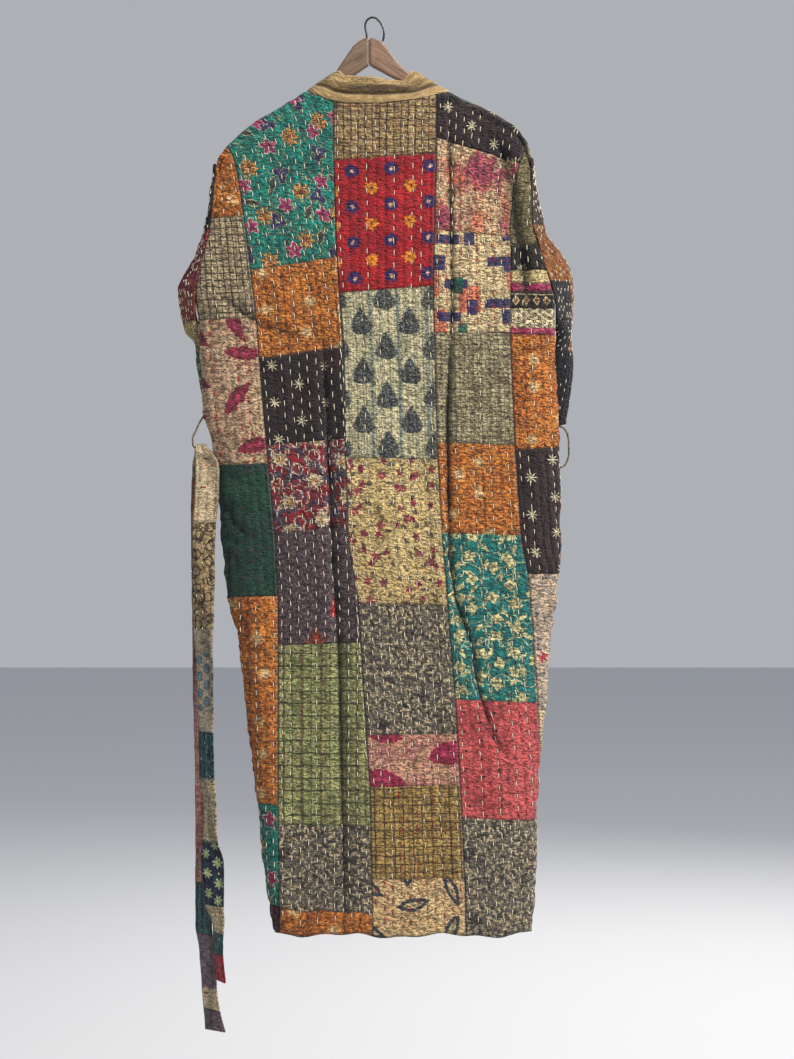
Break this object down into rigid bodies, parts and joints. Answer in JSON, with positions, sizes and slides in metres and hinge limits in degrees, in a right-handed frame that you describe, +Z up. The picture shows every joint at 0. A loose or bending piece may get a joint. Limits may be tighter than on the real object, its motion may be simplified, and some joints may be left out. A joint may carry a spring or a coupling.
{
  "type": "patchwork robe on a hanger",
  "caption": "Long open-front quilted patchwork robe with a tied-on sash, hanging on a wooden hanger with a wire hook.",
  "frame": {"origin": "inside of the hook's top, where it rests on a rail", "axes": "+Z up, +Y out of the open front, -Y out of the pictured back, +X to the right seen from the back"},
  "size_m": [0.5825, 0.1372, 1.4859],
  "materials": {
    "quilt_back": "matte quilted cotton",
    "quilt_left": "matte quilted cotton",
    "quilt_right": "matte quilted cotton",
    "sleeve_left": "matte quilted cotton",
    "sleeve_right": "matte quilted cotton",
    "band": "short soft pile",
    "loop": "matte cotton",
    "sash": "matte pieced cotton",
    "wood": "worn, satin",
    "wire": "dark, worn"
  },
  "bodies": {
    "root": {"back_panel": "quilt_back", "front_panel_left": "quilt_left", "front_panel_right": "quilt_right", "sleeve_left": "sleeve_left", "sleeve_right": "sleeve_right", "collar_band_neck": "band", "collar_band_left": "band", "collar_band_right": "band", "belt_loop_left": "loop", "belt_loop_right": "loop", "sash_tail_near": "sash", "sash_tail_far": "sash", "hanger_arm_left": "wood", "hanger_arm_right": "wood", "hanger_hook": "wire"}
  },
  "joints": []
}
